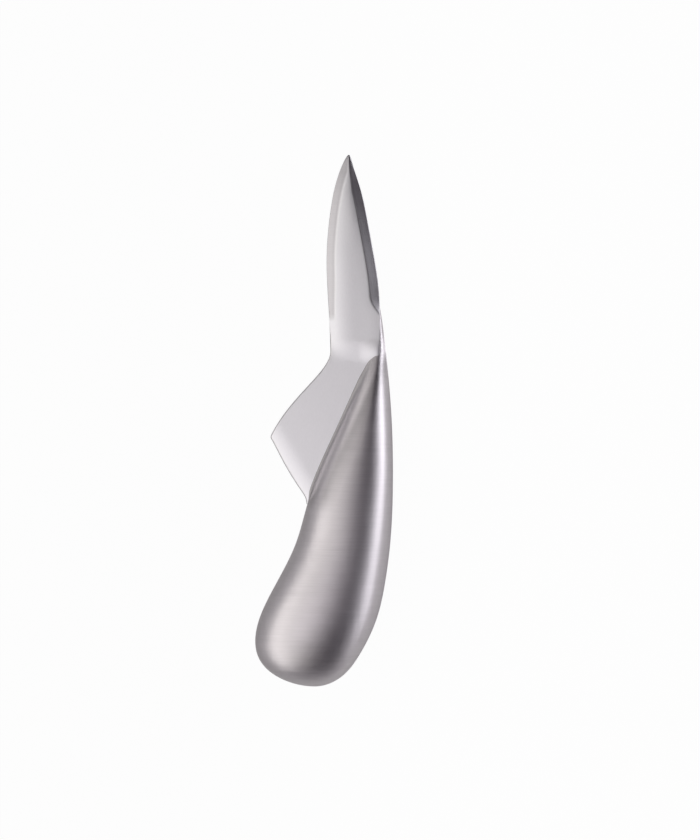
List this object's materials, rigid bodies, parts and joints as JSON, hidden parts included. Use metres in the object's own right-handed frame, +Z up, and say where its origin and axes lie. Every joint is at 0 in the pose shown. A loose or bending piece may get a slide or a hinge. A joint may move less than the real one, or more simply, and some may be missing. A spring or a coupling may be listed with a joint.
{
  "type": "oyster knife",
  "caption": "All-steel oyster knife: short pointed blade, flat guard wing on the opening side and a smooth hollow bulb handle that curves to the butt.",
  "frame": {"origin": "centre of the bounding box in X and Y, at the level of the handle's lowest point, as the knife lies on its side", "axes": "+Y to the blade's tip, +X to the spine side, +Z up through the thickness, square to the plate"},
  "size_m": [0.0426, 0.1648, 0.0226],
  "materials": {
    "blade_steel": "satin",
    "handle_steel": "satin",
    "weld_steel": "satin",
    "plug_steel": "satin",
    "dry_sand": "matte"
  },
  "bodies": {
    "root": {"blade": "blade_steel", "handle_shell_front": "handle_steel", "handle_shell_back": "handle_steel", "seam_weld": "weld_steel", "guard_weld_front": "weld_steel", "guard_weld_back": "weld_steel", "sand_filling": "dry_sand", "filling_plug": "plug_steel"}
  },
  "joints": []
}
